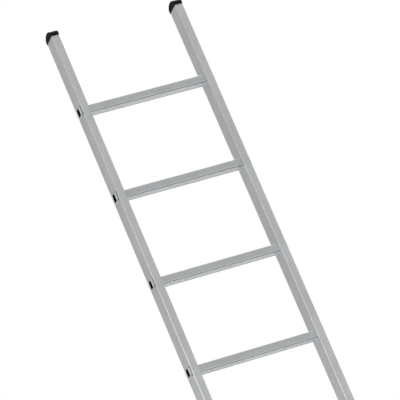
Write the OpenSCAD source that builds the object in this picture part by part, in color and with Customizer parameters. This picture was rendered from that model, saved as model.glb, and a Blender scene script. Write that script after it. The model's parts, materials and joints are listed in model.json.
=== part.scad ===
// Two-section push-up extension ladder.
// Millimetres. X across the ladder, Y from the climber towards the wall,
// Z up along the stiles. Origin on the floor, midway between the stiles and
// midway between the two sections. The base section stands behind (+Y),
// the fly section slides on its front (-Y).

/* [Stiles] */
// Width of a stile, across the ladder
stile_w = 23; // [20:0.5:24]
// Depth of a stile, front to back
stile_d = 56; // [52:1:60]
// Wall thickness of a stile
stile_wall = 1.8; // [1.5:0.1:2.4]
// Corner radius of a stile
stile_r = 2.2; // [1.5:0.1:3]
// Centre distance of the two stiles of a section
stile_gap = 396; // [340:2:420]
// Stile length above the top rung
head_len = 242; // [200:2:260]
// Fly stile length below its first rung
fly_tail = 150; // [150:5:170]

/* [Rungs] */
// Distance from rung to rung
pitch = 280; // [270:1:290]
// Depth of a rung, front to back
rung_d = 38; // [34:1:39]
// Height of a rung
rung_h = 21.5; // [20:0.5:22]
// How far a flared rung end stands out of the stile
flare_out = 3.2; // [1.5:0.1:3.4]
// How far a flared rung end overlaps the stile round its hole
flare_lap = 1.8; // [1.5:0.1:2.6]

/* [Sections] */
// Clear distance between the two sections
gap = 12; // [12:0.5:14]
// Rung steps by which the fly is raised
steps = 5; // [5:1:5]

/* [End caps] */
// Height of a top cap above the stile
cap_h = 22; // [18:0.5:24]
// Corner radius of a top cap, seen from the side
cap_r = 15.5; // [12:0.5:16]
// How far a top cap stands out before and behind the stile
cap_over = 3; // [1:0.5:3]
// How far a top cap stands out at each side of the stile
cap_side = 1.2; // [0.5:0.1:1.5]

/* [Stabiliser] */
// Length of the stabiliser bar
bar_len = 900; // [700:10:1100]
// Height of the stabiliser bar
bar_h = 60; // [56:1:70]
// Depth of the stabiliser bar
bar_d = 25; // [22:1:30]
// Depth of the sole of a stabiliser shoe
shoe_d = 84; // [60:2:90]
// Thickness of the soles under the ladder
sole = 14; // [10:1:18]

/* [Guides] */
// Height of a guide strap
guide_h = 45; // [40:1:50]
// Thickness of a guide strap
guide_t = 3; // [2.5:0.1:4]
// Running clearance of the plastic glides
glide_play = 0.3; // [0.3:0.1:0.6]

/* [Rung locks] */
// Thickness of a lock hook
hook_t = 8; // [6:0.5:8]
// Length of the hook nose over the rung
nose_len = 12; // [8:0.5:12]
// Radius of the lock pivot pin
pin_r = 3; // [2.5:0.25:3]
// Height of the lock pivot above the rung centre
pivot_h = 90; // [86:1:95]

/* [Hidden] */

xs = stile_gap / 2;                 // stile centre
xo = xs + stile_w / 2;              // stile outer face
xi = xs - stile_w / 2;              // stile inner face
yb = gap / 2;                       // front face of the base section
yf = -gap / 2;                      // rear face of the fly section
yc = yb + stile_d / 2;              // distance of a section's mid plane from Y = 0
lift = steps * pitch;               // how far the fly stands raised
base_top = 8 * pitch + head_len;    // top end of the base stiles
fly_top = base_top + lift;          // top end of the fly stiles
fly_foot = pitch + lift - fly_tail; // lower end of the fly stiles
wall_r = 3.2;                       // thick wall of a rung, under the ribs
wall_s = 1.8;                       // front and rear wall of a rung
xg = xo + flare_out + 1.6;          // inner face of a guide strap
gz_base = base_top - 64;            // mid height of the base guides
gz_fly = fly_foot + 38;             // mid height of the fly guides
yl = yb + stile_d + glide_play;     // inner face of a lip glide
lip_t = 4;                          // thickness of a lip glide
lock_z = pitch + lift;              // height of the rung under the lock
piv_y = gap / 2;                    // lock pivot, front to back
piv_z = lock_z + pivot_h;           // lock pivot height
rung_front = yb + (stile_d - rung_d) / 2; // front face of the base rungs
hole_r = 2.45;                      // rivet hole
riv_r = 2.4;                        // rivet shank
bolt_z = [sole + 0.32 * bar_h, sole + 0.78 * bar_h];
ear_x0 = xi - 19;                   // inner ear of the lock bracket
hook_x = xi - 16;                   // inner face of the hook

alu = [0.76, 0.77, 0.78];
alu2 = [0.72, 0.73, 0.74];
blk = [0.07, 0.07, 0.075];
rub = [0.10, 0.10, 0.10];
zinc = [0.66, 0.67, 0.69];

module rrect(w, h, r) {
  square([w - 2 * r, h], center = true);
  square([w, h - 2 * r], center = true);
  for (x = [-1, 1], y = [-1, 1])
    translate([x * (w / 2 - r), y * (h / 2 - r)]) circle(r = r, $fn = 32);
}

module sided(s) { if (s > 0) children(); else mirror([1, 0, 0]) children(); }

// Extrudes a Y-Z outline across X, from x0 over length l
module across(x0, l) { translate([x0, 0, 0]) rotate([90, 0, 90]) linear_extrude(l) children(); }

// Round bar along X
module rod_x(x0, l, r, y, z) { translate([x0, y, z]) rotate([0, 90, 0]) cylinder(r = r, h = l, $fn = 32); }

// Round bar along Y
module rod_y(y0, l, r, x, z) { translate([x, y0, z]) rotate([-90, 0, 0]) cylinder(r = r, h = l, $fn = 32); }

// Rivet hole places: [y, z] along X
base_guide_holes = [[yc - 14, gz_base], [yc + 14, gz_base]];
fly_guide_holes = [[-yc - 14, gz_fly], [-yc + 14, gz_fly]];
base_guide_holes_t = [for (h = fly_guide_holes) [-h[0], h[1]]];
stop_z = gz_base - guide_h / 2 - 0.5 - 11;
stop_holes = [[-yc - 8, stop_z], [-yc + 8, stop_z]];
lock_holes = [[-yc - 8, piv_z - 16], [-yc - 8, piv_z + 16]];

// ---------------------------------------------------------------- sections

// One hollow stile, drilled for its rungs. y is its mid plane.
module stile(y, z0, z1, first) {
  color(alu) difference() {
    translate([xs, y, z0]) linear_extrude(z1 - z0) difference() {
      rrect(stile_w, stile_d, stile_r);
      rrect(stile_w - 2 * stile_wall, stile_d - 2 * stile_wall, stile_r - 1);
    }
    for (i = [0:7]) translate([0, y, first + i * pitch])
      across(xi - 2, stile_w + 4) rrect(rung_d + 0.1, rung_h + 0.1, 2.05);
    children();
  }
}

module base_stile(s) {
  sided(s) stile(yc, sole, base_top, pitch) {
    for (h = base_guide_holes) rod_x(xo - 6, 12, hole_r, h[0], h[1]);
    for (z = bolt_z) rod_y(yb - 2, stile_d + 4, 4.1, xs, z);
  }
}

module fly_stile(s) {
  sided(s) stile(-yc, fly_foot, fly_top, pitch + lift) {
    for (h = concat(fly_guide_holes, stop_holes)) rod_x(xo - 6, 12, hole_r, h[0], h[1]);
    for (h = lock_holes) rod_x(xi - 6, 12, hole_r, h[0], h[1]);
  }
}

// Cross-section of a rung: grooved tread above and below, smooth front and rear
module rung_outline() {
  difference() {
    rrect(rung_d, rung_h, 2);
    rrect(rung_d - 2 * wall_s, rung_h - 2 * wall_r, 1.2);
    for (m = [-1, 1]) {
      for (e = [-1, 1]) translate([e * (rung_d / 2 - 3.7), m * rung_h / 2]) square([4.2, 3.6], center = true);
      for (i = [-2:2]) translate([i * 4.4, m * rung_h / 2]) square([1.8, 1.8], center = true);
    }
  }
}

// Swaged flange round a rung end, outer size grown by e round the rung, with
// a mouth that opens outwards
module flare(e, mouth_w, mouth_h) {
  difference() {
    rrect(rung_d + 2 * e, rung_h + 3 + 2 * e, 2 + e);
    rrect(mouth_w, mouth_h, 2.5);
  }
}

module rung(y, z) {
  color(alu2) translate([0, y, z]) {
    across(-xo, 2 * xo) rung_outline();
    for (s = [1, -1]) sided(s) {
      across(xo, flare_out * 0.6) flare(flare_lap, rung_d / 2 - 0.5, rung_h - 0.4);
      across(xo + flare_out * 0.6, flare_out * 0.4) flare(flare_lap - 0.6, rung_d / 2 + 0.3, rung_h + 3);
      across(xi - 1.4, 1.4) difference() {
        rrect(rung_d + 2.4, rung_h + 2.4, 3.2);
        rrect(rung_d - 4, rung_h - 6, 1);
      }
    }
  }
}

// Side outline of a top cap: a low rim, a round corner at each end and a flatter arc over them
module cap_outline() {
  a = stile_d / 2 + cap_over;
  c = a - cap_r;
  hh = cap_h - 1;
  big = (c * c + hh * hh - cap_r * cap_r) / (2 * (hh - cap_r));
  intersection() {
    translate([-a, 0]) square([2 * a, cap_h + 1]);
    union() {
      translate([-a, 0]) square([2 * a, 1]);
      for (m = [-1, 1]) translate([m * c, 1]) circle(r = cap_r, $fn = 96);
      translate([0, 1 + hh - big]) intersection() {
        circle(r = big, $fn = 192);
        polygon([[0, 0], [-3 * c, 3 * (big - hh)], [3 * c, 3 * (big - hh)]]);
      }
    }
  }
}

// Domed plastic cap with a ribbed plug that sits inside the stile
module top_cap(s, y, z) {
  pw = stile_w - 2 * stile_wall - 0.3;
  pd = stile_d - 2 * stile_wall - 0.3;
  w = stile_w + 2 * cap_side;
  crown = 90;
  color(blk) sided(s) translate([xs, y, z]) {
    intersection() {
      linear_extrude(cap_h) rrect(w, stile_d + 2 * cap_over, stile_r + 1);
      across(-w, 2 * w) cap_outline();
      translate([0, -stile_d, cap_h - crown]) rotate([-90, 0, 0]) cylinder(r = crown, h = 2 * stile_d, $fn = 128);
    }
    translate([0, 0, -26]) linear_extrude(26) difference() {
      rrect(pw, pd, 1);
      rrect(pw - 4, pd - 4, 0.8);
    }
    for (i = [-1:1]) translate([0, i * 12, -13]) cube([pw - 3, 2, 26], center = true);
  }
}

module plug(s, y, z, up) {
  pw = stile_w - 2 * stile_wall - 0.3;
  pd = stile_d - 2 * stile_wall - 0.3;
  color(blk) sided(s) translate([xs, y, z]) mirror([0, 0, up ? 0 : 1]) {
    translate([0, 0, -4]) linear_extrude(4) rrect(stile_w, stile_d, stile_r);
    linear_extrude(24) difference() {
      rrect(pw, pd, 1);
      rrect(pw - 4, pd - 4, 0.8);
    }
  }
}

// ------------------------------------------------------------------- feet

// Rubber foot pushed into the base stile, with cross grooves in its sole
module base_foot(s) {
  pw = stile_w - 2 * stile_wall - 0.3;
  pd = stile_d - 2 * stile_wall - 0.3;
  color(rub) sided(s) difference() {
    union() {
      translate([xs, yc, 0]) linear_extrude(sole) rrect(stile_w, stile_d, stile_r);
      translate([xs, yc, sole]) linear_extrude(34) rrect(pw, pd, 1);
    }
    for (i = [-2:2]) translate([xs, yc + i * 10, 0]) cube([stile_w + 2, 3, 6], center = true);
    for (z = bolt_z) rod_y(yb - 2, stile_d + 4, 4.1, xs, z);
  }
}

module stabiliser_bar() {
  color(alu) difference() {
    translate([-bar_len / 2, yb - bar_d / 2, sole + bar_h / 2]) rotate([90, 0, 90]) linear_extrude(bar_len)
      difference() { rrect(bar_d, bar_h, 2.5); rrect(bar_d - 4, bar_h - 4, 1.2); }
    for (s = [-1, 1], z = bolt_z) rod_y(yb - bar_d - 2, bar_d + 4, 4.1, s * xs, z);
  }
}

// Rubber shoe over the end of the stabiliser bar, with a broad grooved sole
module stabiliser_foot(s) {
  w = 62;
  x0 = bar_len / 2 + 4 - w;
  color(rub) sided(s) difference() {
    union() {
      translate([x0, yb - bar_d / 2, (sole + bar_h + 4) / 2]) rotate([90, 0, 90]) linear_extrude(w)
        rrect(bar_d + 8, sole + bar_h + 4, 4);
      translate([0, yb - bar_d / 2, 0]) across(x0, w)
        polygon([[-shoe_d / 2, 0], [shoe_d / 2, 0], [shoe_d / 2, 8], [bar_d / 2 + 4, 34], [-bar_d / 2 - 4, 34], [-shoe_d / 2, 8]]);
    }
    translate([x0 - 1, yb - bar_d / 2, sole + bar_h / 2]) rotate([90, 0, 90]) linear_extrude(bar_len / 2 - x0 + 1)
      rrect(bar_d, bar_h, 2.5);
    for (i = [0:4]) translate([x0 + 9 + i * 11, yb - bar_d / 2, 0]) cube([4, shoe_d + 4, 6], center = true);
  }
}

module stabiliser_bolts() {
  y1 = yb + stile_d;
  color(zinc) for (s = [-1, 1], z = bolt_z) translate([s * xs, 0, z]) {
    rod_y(yb - bar_d - 11, y1 - yb + bar_d + 11, 3.95, 0, 0);
    rod_y(y1, 2, 8, 0, 0);
    rod_y(y1, 3.4, 6.4, 0, 0);
    rod_y(y1, 4.4, 4.2, 0, 0);
  }
}

module stabiliser_nuts() {
  y0 = yb - bar_d;
  color(zinc) for (s = [-1, 1], z = bolt_z) translate([s * xs, 0, z]) difference() {
    union() {
      rod_y(y0 - 1.6, 1.6, 8, 0, 0);
      translate([0, y0 - 8.4, 0]) rotate([-90, 0, 0]) cylinder(r = 7.5, h = 6.8, $fn = 6);
    }
    rod_y(y0 - 12, 14, 4.0, 0, 0);
  }
}

// ----------------------------------------------------------------- guides
// Modelled on the base: the strap runs forward past the fly stile and its lip
// turns in across the front. The fly guide is the same strap turned round.

module guide(s, z, holes) {
  color(zinc) sided(s) difference() {
    translate([0, 0, z - guide_h / 2]) linear_extrude(guide_h) {
      translate([xg, -yl - lip_t]) square([guide_t, yl + lip_t + yb + stile_d - 6]);
      translate([xs - 4, -yl - lip_t - guide_t]) square([xg - xs + 4, guide_t]);
      intersection() {
        translate([xg, -yl - lip_t]) circle(r = guide_t, $fn = 48);
        translate([xg, -yl - lip_t - guide_t]) square([guide_t, guide_t]);
      }
    }
    for (h = holes) rod_x(xg - 1, guide_t + 2, hole_r, h[0], h[1]);
  }
}

module guide_spacer(z, holes) {
  color(blk) for (s = [1, -1]) sided(s) difference() {
    translate([xo, yc, z]) rotate([90, 0, 90]) linear_extrude(xg - xo) rrect(stile_d - 12, guide_h - 4, 3);
    for (h = holes) rod_x(xo - 1, 8, hole_r, h[0], h[1]);
  }
}

// Lip glide on the front corner and glide block between the sections
module glides(s, z) {
  color(blk) sided(s) translate([0, 0, z - guide_h / 2 + 2]) linear_extrude(guide_h - 4) {
    translate([xs - 4, -yl - lip_t]) square([xg - xs + 4, lip_t]);
    translate([xo + glide_play, -yl - lip_t]) square([xg - xo - glide_play, lip_t + 5.5]);
    translate([xs, yb - (gap - glide_play) / 2]) rrect(stile_w - 5, gap - glide_play, 2);
  }
}

// Domed rivet along X: head outside at x, shank towards the ladder's middle
module rivet(x, l, y, z) {
  rod_x(x - l, l, riv_r, y, z);
  rod_x(x, 1, 4.6, y, z);
  rod_x(x + 1, 0.8, 3.4, y, z);
}

module guide_rivets(holes) {
  color(zinc) for (s = [1, -1], h = holes) sided(s) rivet(xg + guide_t, guide_t + xg - xo + stile_wall + 3, h[0], h[1]);
}

// Turns a base guide piece round into a fly guide piece
module turned() { mirror([0, 1, 0]) children(); }

// End stops on the fly that meet the base guides at full extension
module fly_stops() {
  color(blk) for (s = [1, -1]) sided(s) {
    difference() {
      translate([xo, -yc, stop_z]) rotate([90, 0, 90]) linear_extrude(6) rrect(34, 22, 4);
      for (h = stop_holes) rod_x(xo - 1, 8, hole_r, h[0], h[1]);
    }
  }
}
module fly_stop_rivets() {
  color(zinc) for (s = [1, -1], h = stop_holes) sided(s) rivet(xo + 6, 6 + stile_wall + 3, h[0], h[1]);
}

// ------------------------------------------------------------- rung locks

// Clevis bracket riveted inside the fly stile
module lock_bracket(s) {
  h = 50;
  yw = -yc + 6;
  color(zinc) sided(s) difference() {
    union() {
      translate([xi - 2.5, -yc - 20, piv_z - h / 2]) cube([2.5, 20 + 6 + 2.5, h]);
      translate([ear_x0, yw, piv_z - h / 2]) cube([xi - ear_x0, 2.5, h]);
      for (x = [ear_x0, xi - 2.8]) {
        across(x, 2.3) translate([yw, piv_z - 13]) square([piv_y - yw, 26]);
        rod_x(x, 2.3, 7.4, piv_y, piv_z);
      }
    }
    // trims the ears back to a round end
    for (m = [0, 1]) translate([0, 0, 2 * m * piv_z]) mirror([0, 0, m])
      translate([ear_x0 - 1, piv_y - 12, piv_z + 7.4]) cube([xi - ear_x0 + 2, 40, 20]);
    rod_x(ear_x0 - 1, 30, pin_r + 0.05, piv_y, piv_z);
    for (q = lock_holes) rod_x(xi - 6, 12, hole_r, q[0], q[1]);
  }
}

// Swinging hook. Its nose rests on the base rung, its under side is an arc
// round the pivot, so it swings clear without lifting the fly.
module lock_hook(s) {
  a = rung_front - 0.6;            // rear edge of the shank
  b = a - 10;                      // front edge of the shank
  top = lock_z + rung_h / 2 + 0.3; // bearing height over the rung
  rr = norm([rung_front - piv_y, piv_z - top]);
  tip = rung_front + nose_len;
  under = [for (i = [0:8]) let (y = a + (tip - a) * i / 8) [y, piv_z - sqrt(rr * rr - (y - piv_y) * (y - piv_y))]];
  color(zinc) sided(s) difference() {
    union() {
      across(hook_x, hook_t) polygon(concat(
        under,
        [[tip, top + 8], [a, lock_z + 34], [a, piv_z - 22], [piv_y + 7, piv_z - 6], [piv_y + 7, piv_z],
         [piv_y - 7, piv_z], [piv_y - 7, piv_z - 10], [b, piv_z - 30], [b, lock_z - 8], [b + 3, lock_z - 12], [a, lock_z - 12]]));
      rod_x(hook_x, hook_t, 7, piv_y, piv_z);
    }
    rod_x(hook_x - 1, hook_t + 2, pin_r + 0.06, piv_y, piv_z);
  }
}

module lock_pin(s) {
  color(zinc) sided(s) {
    rod_x(ear_x0 - 1.8, 1.8, 5, piv_y, piv_z);
    rod_x(ear_x0, xi - 0.5 - ear_x0, pin_r, piv_y, piv_z);
  }
}

// Torsion spring round the pin. Its lower leg turns across the front edge of
// the hook, its upper leg runs forward and up the inside of the bracket's web.
sp_r = 5;
sp_w = 0.7;
sp_x0 = hook_x + hook_t + 0.9;
sp_p = 1.7;
sp_n = 1.5;
sp_x1 = sp_x0 + sp_p * sp_n;
sp_lo = piv_z - sp_r;
sp_hi = piv_z + sp_r;
spring_path = concat(
  [[hook_x + 3.5, piv_y - 7.75, sp_lo], [hook_x + hook_t, piv_y - 7.75, sp_lo],
   [hook_x + hook_t + 0.55, piv_y - 7.6, sp_lo], [sp_x0, piv_y - 7, sp_lo]],
  [for (i = [0:16 * sp_n]) let (t = 360 * i / 16) [sp_x0 + sp_p * i / 16, piv_y + sp_r * sin(t), piv_z - sp_r * cos(t)]],
  [[sp_x1, -yc + 10.6, sp_hi], [sp_x1, -yc + 9.5, sp_hi + 1.1], [sp_x1, -yc + 9.25, sp_hi + 7]]);
function unit(v) = v / norm(v);
function tangent(p, i) = unit(p[min(i + 1, len(p) - 1)] - p[max(i - 1, 0)]);
module sweep(p, r, n) {
  rings = [for (i = [0:len(p) - 1]) let (t = tangent(p, i), u = unit(cross(t, [1, -0.3, 0])), v = cross(t, u))
    for (k = [0:n - 1]) p[i] + r * (cos(360 * k / n) * u + sin(360 * k / n) * v)];
  m = len(p);
  polyhedron(points = rings, faces = concat(
    [[for (k = [0:n - 1]) k]],
    [for (i = [0:m - 2], k = [0:n - 1]) [i * n + k, (i + 1) * n + k, (i + 1) * n + (k + 1) % n, i * n + (k + 1) % n]],
    [[for (k = [n - 1:-1:0]) (m - 1) * n + k]]), convexity = 6);
}
module lock_spring(s) { color(zinc) sided(s) sweep(spring_path, sp_w, 8); }

module lock_rivets() {
  color(zinc) for (s = [1, -1], q = lock_holes) sided(s)
    mirror([1, 0, 0]) rivet(-(xi - 2.5), 2.5 + stile_wall + 3, q[0], q[1]);
}

// -------------------------------------------------------------------- nodes

base_stile(-1);  // base_stile_left
base_stile(1);  // base_stile_right
rung(yc, 1 * pitch);  // base_rung_1
rung(yc, 2 * pitch);  // base_rung_2
rung(yc, 3 * pitch);  // base_rung_3
rung(yc, 4 * pitch);  // base_rung_4
rung(yc, 5 * pitch);  // base_rung_5
rung(yc, 6 * pitch);  // base_rung_6
rung(yc, 7 * pitch);  // base_rung_7
rung(yc, 8 * pitch);  // base_rung_8
top_cap(-1, yc, base_top);  // base_cap_left
top_cap(1, yc, base_top);  // base_cap_right
base_foot(-1);  // base_foot_left
base_foot(1);  // base_foot_right
stabiliser_bar();
stabiliser_foot(-1);  // stabiliser_foot_left
stabiliser_foot(1);  // stabiliser_foot_right
stabiliser_bolts();
stabiliser_nuts();
guide(-1, gz_base, base_guide_holes);  // base_guide_left
guide(1, gz_base, base_guide_holes);  // base_guide_right
guide_spacer(gz_base, base_guide_holes);  // base_guide_spacers
glides(-1, gz_base);  // base_glides_left
glides(1, gz_base);  // base_glides_right
guide_rivets(base_guide_holes);  // base_guide_rivets
fly_stile(-1);  // fly_stile_left
fly_stile(1);  // fly_stile_right
rung(-yc, 1 * pitch + lift);  // fly_rung_1
rung(-yc, 2 * pitch + lift);  // fly_rung_2
rung(-yc, 3 * pitch + lift);  // fly_rung_3
rung(-yc, 4 * pitch + lift);  // fly_rung_4
rung(-yc, 5 * pitch + lift);  // fly_rung_5
rung(-yc, 6 * pitch + lift);  // fly_rung_6
rung(-yc, 7 * pitch + lift);  // fly_rung_7
rung(-yc, 8 * pitch + lift);  // fly_rung_8
top_cap(-1, -yc, fly_top);  // fly_cap_left
top_cap(1, -yc, fly_top);  // fly_cap_right
plug(-1, -yc, fly_foot, true);  // fly_plug_left
plug(1, -yc, fly_foot, true);  // fly_plug_right
turned() guide(-1, gz_fly, base_guide_holes_t);  // fly_guide_left
turned() guide(1, gz_fly, base_guide_holes_t);  // fly_guide_right
turned() guide_spacer(gz_fly, base_guide_holes_t);  // fly_guide_spacers
turned() glides(-1, gz_fly);  // fly_glides_left
turned() glides(1, gz_fly);  // fly_glides_right
guide_rivets(fly_guide_holes);  // fly_guide_rivets
fly_stops();
fly_stop_rivets();
lock_bracket(-1);  // lock_bracket_left
lock_bracket(1);  // lock_bracket_right
lock_hook(-1);  // lock_hook_left
lock_hook(1);  // lock_hook_right
lock_pin(-1);  // lock_pin_left
lock_pin(1);  // lock_pin_right
lock_spring(-1);  // lock_spring_left
lock_spring(1);  // lock_spring_right
lock_rivets();
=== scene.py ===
import json
import math

import bpy
from mathutils import Matrix, Vector


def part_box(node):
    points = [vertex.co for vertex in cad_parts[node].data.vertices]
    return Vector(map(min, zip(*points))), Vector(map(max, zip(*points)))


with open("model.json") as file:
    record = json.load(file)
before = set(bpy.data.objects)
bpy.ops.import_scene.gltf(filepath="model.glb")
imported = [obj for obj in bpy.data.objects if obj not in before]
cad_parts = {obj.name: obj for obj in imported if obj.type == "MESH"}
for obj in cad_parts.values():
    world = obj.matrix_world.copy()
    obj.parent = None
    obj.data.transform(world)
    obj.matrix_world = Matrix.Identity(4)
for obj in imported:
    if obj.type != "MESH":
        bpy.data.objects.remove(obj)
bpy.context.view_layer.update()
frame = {"nodes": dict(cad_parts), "record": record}
nodes = frame["nodes"]
scene = bpy.context.scene


def link(obj):
    scene.collection.objects.link(obj)
    return obj


# ------------------------------------------------------------------ camera
# Stands left of the ladder, near the floor, and looks up at the top of the fly section.
rung_lo, rung_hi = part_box("fly_rung_8")
stile_lo, stile_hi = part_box("fly_stile_left")
anchor = Vector((0.0, stile_lo.y, (rung_lo.z + rung_hi.z) / 2))
cam_data = bpy.data.cameras.new("camera")
cam = link(bpy.data.objects.new("camera", cam_data))
forward = Vector((0.37037, 0.87286, 0.31772)).normalized()
right = Vector((0.89511, -0.24398, -0.37317))
right = (right - forward * right.dot(forward)).normalized()
up = right.cross(forward)
place = anchor + Vector((-3.79930, -8.99080, -3.63626))
cam.matrix_world = Matrix((
    (right.x, up.x, -forward.x, place.x),
    (right.y, up.y, -forward.y, place.y),
    (right.z, up.z, -forward.z, place.z),
    (0, 0, 0, 1)))
cam_data.sensor_width = 36
cam_data.lens = 3615.9 * 36 / 400
cam_data.clip_start, cam_data.clip_end = 0.1, 200
scene.camera = cam
scene.view_settings.view_transform = "Standard"
scene.view_settings.look = "None"


# ------------------------------------------------------------- node helpers
class Tree:
    """A small wrapper that makes and links shader nodes."""

    def __init__(self, tree):
        self.tree = tree
        self.tree.nodes.clear()

    def node(self, kind, **values):
        n = self.tree.nodes.new(kind)
        for k, v in values.items():
            setattr(n, k, v)
        return n

    def put(self, socket, value):
        if isinstance(value, bpy.types.NodeSocket):
            self.tree.links.new(value, socket)
        elif value is not None:
            if hasattr(socket.default_value, "__len__") and len(socket.default_value) == 4 and len(value) == 3:
                value = (*value, 1)
            socket.default_value = value

    def math(self, op, a, b=None, c=None, clamp=False):
        n = self.node("ShaderNodeMath", operation=op, use_clamp=clamp)
        for i, v in enumerate((a, b, c)):
            if v is not None:
                self.put(n.inputs[i], v)
        return n.outputs[0]

    def object_xyz(self):
        tc = self.node("ShaderNodeTexCoord")
        sep = self.node("ShaderNodeSeparateXYZ")
        self.put(sep.inputs[0], tc.outputs["Object"])
        return tc.outputs["Object"], sep.outputs

    def scaled(self, vector, scale, rotation=(0, 0, 0)):
        m = self.node("ShaderNodeMapping")
        self.put(m.inputs["Vector"], vector)
        self.put(m.inputs["Rotation"], rotation)
        self.put(m.inputs["Scale"], scale)
        return m.outputs[0]

    def noise(self, vector, scale=1.0, detail=3.0, rough=0.5, distortion=0.0):
        n = self.node("ShaderNodeTexNoise")
        self.put(n.inputs["Vector"], vector)
        self.put(n.inputs["Scale"], scale)
        self.put(n.inputs["Detail"], detail)
        self.put(n.inputs["Roughness"], rough)
        self.put(n.inputs["Distortion"], distortion)
        return n.outputs["Fac"] if "Fac" in n.outputs else n.outputs[0]

    def span(self, value, a, b, c, d, smooth=False):
        n = self.node("ShaderNodeMapRange")
        n.interpolation_type = "SMOOTHSTEP" if smooth else "LINEAR"
        n.clamp = True
        self.put(n.inputs["Value"], value)
        for i, v in zip(("From Min", "From Max", "To Min", "To Max"), (a, b, c, d)):
            self.put(n.inputs[i], v)
        return n.outputs["Result"]

    def mix(self, fac, a, b, mode="MIX"):
        n = self.node("ShaderNodeMix", data_type="RGBA", blend_type=mode)
        self.put(n.inputs[0], fac)
        self.put(n.inputs[6], a)
        self.put(n.inputs[7], b)
        return n.outputs[2]

    def grey(self, value):
        n = self.node("ShaderNodeCombineColor")
        for i in range(3):
            self.put(n.inputs[i], value)
        return n.outputs[0]

    def bump(self, height, distance, strength=1.0, normal=None):
        n = self.node("ShaderNodeBump")
        self.put(n.inputs["Strength"], strength)
        self.put(n.inputs["Distance"], distance)
        self.put(n.inputs["Height"], height)
        if normal is not None:
            self.put(n.inputs["Normal"], normal)
        return n.outputs[0]

    def principled(self, **values):
        b = self.node("ShaderNodeBsdfPrincipled")
        for k, v in values.items():
            self.put(b.inputs[k.replace("_", " ")], v)
        out = self.node("ShaderNodeOutputMaterial")
        self.tree.links.new(b.outputs[0], out.inputs[0])
        return b


def material(name):
    m = bpy.data.materials.new(name)
    m.use_nodes = True
    return m, Tree(m.node_tree)


# ---------------------------------------------------------------- materials
def aluminium(name, along, base, rough, painted_light_and_shade=None):
    """Satin extruded aluminium. along is the axis that its draw lines follow."""
    m, t = material(name)
    vec, xyz = t.object_xyz()
    fine = [900.0, 900.0, 900.0]
    wide = [160.0, 160.0, 160.0]
    fine["XYZ".index(along)] = 3.0
    wide["XYZ".index(along)] = 1.2
    lines = t.noise(t.scaled(vec, fine), 1.0, 4.0, 0.65)
    bands = t.noise(t.scaled(vec, wide), 1.0, 3.0, 0.6)
    cloud = t.noise(vec, 14.0, 4.0, 0.6, 0.6)
    # short slanting hairlines left by handling
    hair = t.noise(t.scaled(vec, (420.0, 420.0, 60.0), (0.5, 0.45, 0.3)), 1.0, 2.0, 0.6)
    tone = t.math("MULTIPLY_ADD", lines, 0.10, 0.95)
    tone = t.math("MULTIPLY", tone, t.math("MULTIPLY_ADD", bands, 0.16, 0.92))
    tone = t.math("MULTIPLY", tone, t.math("MULTIPLY_ADD", cloud, 0.14, 0.93))
    tone = t.math("MULTIPLY", tone, t.math("MULTIPLY_ADD", hair, 0.16, 0.92))
    # painted light and shade: the tone is multiplied by the painted light and shade factor given for this material
    if painted_light_and_shade is not None:
        tone = t.math("MULTIPLY", tone, painted_light_and_shade(t, xyz))
    colour = t.mix(1.0, t.grey(tone), base, "MULTIPLY")
    r = t.math("MULTIPLY_ADD", lines, 0.16, rough - 0.08)
    r = t.math("MULTIPLY_ADD", cloud, 0.10, t.math("SUBTRACT", r, 0.05))
    height = t.math("MULTIPLY_ADD", lines, 0.6, t.math("MULTIPLY", hair, 0.4))
    t.principled(Base_Color=colour, Metallic=1.0, Roughness=r, Normal=t.bump(height, 0.00004, 0.5))
    return m


def plastic(name, base, rough, grain=2600.0, wear=0.0, gloss=0.3, ior=1.45):
    """Moulded plastic or rubber with a fine spark-eroded grain and scuffed high spots."""
    m, t = material(name)
    vec, xyz = t.object_xyz()
    g = t.noise(vec, grain, 2.0, 0.5)
    patch = t.noise(vec, 46.0, 4.0, 0.6, 0.4)
    scuff = t.span(t.noise(t.scaled(vec, (260.0, 260.0, 30.0)), 1.0, 3.0, 0.6), 0.58, 0.72, 0.0, 1.0, True)
    lighter = [min(1.0, c * 2.2 + 0.002) for c in base]
    colour = t.mix(t.math("MULTIPLY", patch, 0.55), base, lighter)
    if wear:
        colour = t.mix(t.math("MULTIPLY", scuff, wear), colour, (0.16, 0.16, 0.16))
    r = t.math("ADD", t.math("MULTIPLY_ADD", patch, 0.18, rough - 0.09), t.math("MULTIPLY", scuff, -0.06))
    t.principled(Base_Color=colour, Roughness=r, Specular_IOR_Level=gloss, IOR=ior, Normal=t.bump(g, 0.00006, 0.45))
    return m


def zinc(name, base, rough):
    """Bright zinc plating with its mottled spangle and fine brushing."""
    m, t = material(name)
    vec, xyz = t.object_xyz()
    v = t.node("ShaderNodeTexVoronoi", feature="F1")
    t.put(v.inputs["Vector"], vec)
    t.put(v.inputs["Scale"], 260.0)
    spangle = t.math("MULTIPLY_ADD", v.outputs["Color"], 0.10, 0.95)
    cloud = t.noise(vec, 60.0, 4.0, 0.6, 0.5)
    brush = t.noise(t.scaled(vec, (60.0, 60.0, 1500.0)), 1.0, 3.0, 0.6)
    tone = t.math("MULTIPLY", spangle, t.math("MULTIPLY_ADD", cloud, 0.22, 0.89))
    tone = t.math("MULTIPLY", tone, t.math("MULTIPLY_ADD", brush, 0.12, 0.94))
    colour = t.mix(1.0, t.grey(tone), base, "MULTIPLY")
    r = t.math("MULTIPLY_ADD", cloud, 0.22, rough - 0.11)
    t.principled(Base_Color=colour, Metallic=1.0, Roughness=r, Normal=t.bump(brush, 0.00003, 0.4))
    return m


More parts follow.
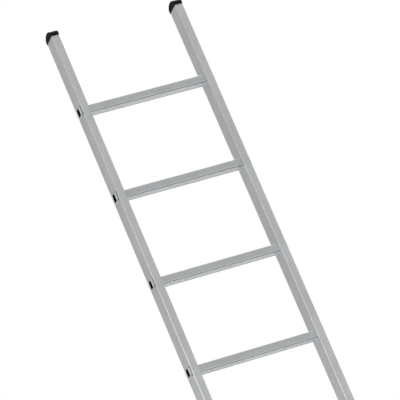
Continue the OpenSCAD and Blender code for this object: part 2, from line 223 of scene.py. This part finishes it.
def rung_shade(section):
    """Painted shade on a rung's tread grooves, front and rear faces, flanges and tube interior, and a painted
    highlight on each flange.
    """
    lo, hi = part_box("%s_rung_1" % section)
    mid_y = (lo.y + hi.y) / 2
    end_x = hi.x
    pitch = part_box("fly_rung_2")[0].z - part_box("fly_rung_1")[0].z

    def shade(t, xyz):
        # height over the middle of the nearest rung, as the rungs repeat
        near = t.math("SUBTRACT", t.math("FRACT", t.math("MULTIPLY_ADD", xyz[2], 1 / pitch, 0.5)), 0.5)
        dz = t.math("ABSOLUTE", t.math("MULTIPLY", near, pitch))
        dy = t.math("ABSOLUTE", t.math("SUBTRACT", xyz[1], mid_y))
        # painted shade in the grooves of the tread
        low = t.span(dz, 0.01066, 0.01073, 1.0, 0.0)
        deep = t.math("MULTIPLY", low, t.span(dy, 0.01300, 0.01315, 0.0, 1.0))
        deep = t.math("MULTIPLY", deep, t.span(dy, 0.01742, 0.01755, 1.0, 0.0))
        deep = t.math("MULTIPLY", deep, t.span(dz, 0.0080, 0.0086, 0.0, 1.0))
        fine = t.math("MULTIPLY", low, t.span(dy, 0.0125, 0.0130, 1.0, 0.0))
        fine = t.math("MULTIPLY", fine, t.span(dz, 0.0086, 0.0092, 0.0, 1.0))
        dx = t.math("ABSOLUTE", xyz[0])
        groove = t.math("ADD", t.math("MULTIPLY", deep, 0.94), t.math("MULTIPLY", fine, 0.22))
        groove = t.math("MULTIPLY", groove, t.math("LESS_THAN", dx, end_x - 0.0034))
        # painted shade: the groove and strip shade is weighted to the front side of the tread, lighter at the rear
        front_weight = t.span(t.math("SUBTRACT", xyz[1], mid_y), -0.003, 0.006, 1.0, 0.0, True)
        groove = t.math("MULTIPLY", groove, t.math("MULTIPLY_ADD", front_weight, 0.65, 0.35))
        # painted shade on the strip of tread in front of and behind the deep groove
        lip = t.math("MULTIPLY", t.span(dy, 0.0106, 0.0128, 0.0, 1.0, True), t.span(dz, 0.0104, 0.0106, 0.0, 1.0))
        strip_shade = t.math("MULTIPLY_ADD", t.span(dy, 0.0168, 0.0176, 0.0, 1.0, True), 0.16, 0.27)
        strip_shade = t.math("MULTIPLY", strip_shade, t.math("MULTIPLY", lip, front_weight))
        keep = t.math("MULTIPLY", t.math("SUBTRACT", 1.0, groove), t.math("SUBTRACT", 1.0, strip_shade))
        # painted shade: the front and rear faces are coloured darker than the tread
        keep = t.math("MULTIPLY", keep, t.span(dy, 0.0180, 0.0186, 1.0, 0.87, True))
        # the flange on each end: a painted highlight on its outer part, a painted shadow where it meets the stile
        rim_highlight = t.math("GREATER_THAN", dx, end_x - 0.0014)
        keep = t.math("MULTIPLY", keep, t.math("MULTIPLY_ADD", rim_highlight, 0.26, 1.0))
        corner_shadow = t.math("MULTIPLY", t.math("GREATER_THAN", dx, end_x - 0.0031), t.math("SUBTRACT", 1.0, rim_highlight))
        keep = t.math("MULTIPLY", keep, t.math("MULTIPLY_ADD", corner_shadow, -0.62, 1.0))
        # painted shade: the tube's interior and its mouth are coloured almost black
        inside_shade = t.math("MULTIPLY", t.math("LESS_THAN", dz, 0.00775), t.math("LESS_THAN", dy, 0.01735))
        inside_shade = t.math("MULTIPLY", inside_shade, t.math("LESS_THAN", dx, end_x - 0.0030))
        mouth = t.math("MULTIPLY", t.math("LESS_THAN", dz, 0.01240), t.math("LESS_THAN", dy, 0.00970))
        mouth = t.math("MULTIPLY", mouth, t.math("GREATER_THAN", dx, end_x - 0.0034))
        inside_shade = t.math("MAXIMUM", inside_shade, mouth)
        return t.math("MULTIPLY", keep, t.math("SUBTRACT", 1.0, t.math("MULTIPLY", inside_shade, 0.95)))

    return shade


def stile_shade(t, xyz):
    """Painted light and shade: the upper part of the fly stiles is coloured a little darker, the parts below 2.6 m
    a little lighter.
    """
    return t.span(xyz[2], 2.60, 2.95, 1.05, 0.955, True)


mats = {
    "stile_aluminium": aluminium("stile_aluminium", "Z", (0.735, 0.748, 0.755), 0.40, stile_shade),
    "black_plastic": plastic("black_plastic", (0.0014, 0.0014, 0.0016), 0.50, wear=0.02, gloss=0.11, ior=1.33),
    "foot_rubber": plastic("foot_rubber", (0.020, 0.020, 0.020), 0.72, 1500.0, wear=0.35),
    "zinc_steel": zinc("zinc_steel", (0.50, 0.52, 0.55), 0.33),
    "spring_steel": zinc("spring_steel", (0.36, 0.36, 0.37), 0.34),
}
bar_mat = aluminium("bar_aluminium", "X", (0.725, 0.738, 0.745), 0.40)
rung_mats = {s: aluminium("rung_aluminium_" + s, "X", (0.705, 0.725, 0.735), 0.42, rung_shade(s)) for s in ("base", "fly")}

slots = {s["node"]: s["material_slot"] for s in frame["record"]["subparts"]}
for name, obj in nodes.items():
    kind = slots[name]
    if kind == "rung_aluminium":
        mat = rung_mats[name.split("_")[0]]
    elif name == "stabiliser_bar":
        mat = bar_mat
    else:
        mat = mats[kind]
    for s in obj.material_slots:
        s.material = mat
    if not obj.material_slots:
        obj.data.materials.append(mat)


# ------------------------------------------------------------- softened edges
def soften(name, width, segments=2):
    """Rounds the sharp edges of a moulded or pressed piece."""
    obj = nodes[name]
    weld = obj.modifiers.new("weld", "WELD")
    weld.merge_threshold = 0.00002
    bevel = obj.modifiers.new("soft_edges", "BEVEL")
    bevel.width = width
    bevel.segments = segments
    bevel.limit_method = "ANGLE"
    bevel.angle_limit = math.radians(32)
    bevel.use_clamp_overlap = True
    bevel.harden_normals = False
    weigh = obj.modifiers.new("weighted", "WEIGHTED_NORMAL")
    weigh.keep_sharp = True
    weigh.weight = 60


for name in nodes:
    part = name.split("_")
    if part[1] in ("cap", "plug"):
        soften(name, 0.0009, 3)
    elif name.startswith(("stabiliser_foot", "base_foot")):
        soften(name, 0.0014, 3)

# -------------------------------------------------------------------- stage
def floor():
    mesh = bpy.data.meshes.new("floor")
    n, r = 64, 30.0
    verts = [(r * math.cos(2 * math.pi * i / n), r * math.sin(2 * math.pi * i / n), 0.0) for i in range(n)]
    mesh.from_pydata(verts, [], [list(range(n))])
    obj = link(bpy.data.objects.new("floor", mesh))
    m, t = material("floor")
    vec, xyz = t.object_xyz()
    tone = t.math("MULTIPLY_ADD", t.noise(vec, 3.0, 3.0, 0.5), 0.04, 0.84)
    t.principled(Base_Color=t.grey(tone), Roughness=0.8)
    mesh.materials.append(m)
    return obj


floor()

world = bpy.data.worlds.new("world")
scene.world = world
world.use_nodes = True
w = Tree(world.node_tree)
tc = w.node("ShaderNodeTexCoord")
sep = w.node("ShaderNodeSeparateXYZ")
w.put(sep.inputs[0], tc.outputs["Generated"])
dx, dy, dz = sep.outputs
# a soft studio: an even tent, brighter overhead, darker behind on the right
level = w.math("MULTIPLY_ADD", dy, -0.03, 0.488)
level = w.math("MULTIPLY_ADD", dx, -0.032, level)
level = w.math("ADD", level, w.span(dz, 0.50, 0.95, 0.0, 1.5, True))
back_right = w.math("ADD", w.math("MULTIPLY", dx, 0.75), w.math("MULTIPLY", dy, 0.66))
level = w.math("SUBTRACT", level, w.span(back_right, 0.45, 0.95, 0.0, 0.25, True))
lit = w.node("ShaderNodeBackground")
w.put(lit.inputs[0], w.grey(level))
seen = w.node("ShaderNodeBackground")
w.put(seen.inputs[0], (1.0, 1.0, 1.0))
path = w.node("ShaderNodeLightPath")
blend = w.node("ShaderNodeMixShader")
w.put(blend.inputs[0], path.outputs["Is Camera Ray"])
world.node_tree.links.new(lit.outputs[0], blend.inputs[1])
world.node_tree.links.new(seen.outputs[0], blend.inputs[2])
out = w.node("ShaderNodeOutputWorld")
world.node_tree.links.new(blend.outputs[0], out.inputs[0])


def area(name, place, target, size, power):
    data = bpy.data.lights.new(name, "AREA")
    data.shape = "RECTANGLE"
    data.size, data.size_y = size
    data.energy = power
    obj = link(bpy.data.objects.new(name, data))
    obj.location = place
    obj.rotation_mode = "QUATERNION"
    obj.rotation_quaternion = (Vector(target) - Vector(place)).to_track_quat("-Z", "Y")
    obj.visible_camera = False
    return obj


area("left_softbox", (-2.8, -0.9, 2.62), (0, 0, 2.62), (3.2, 2.6), 37)
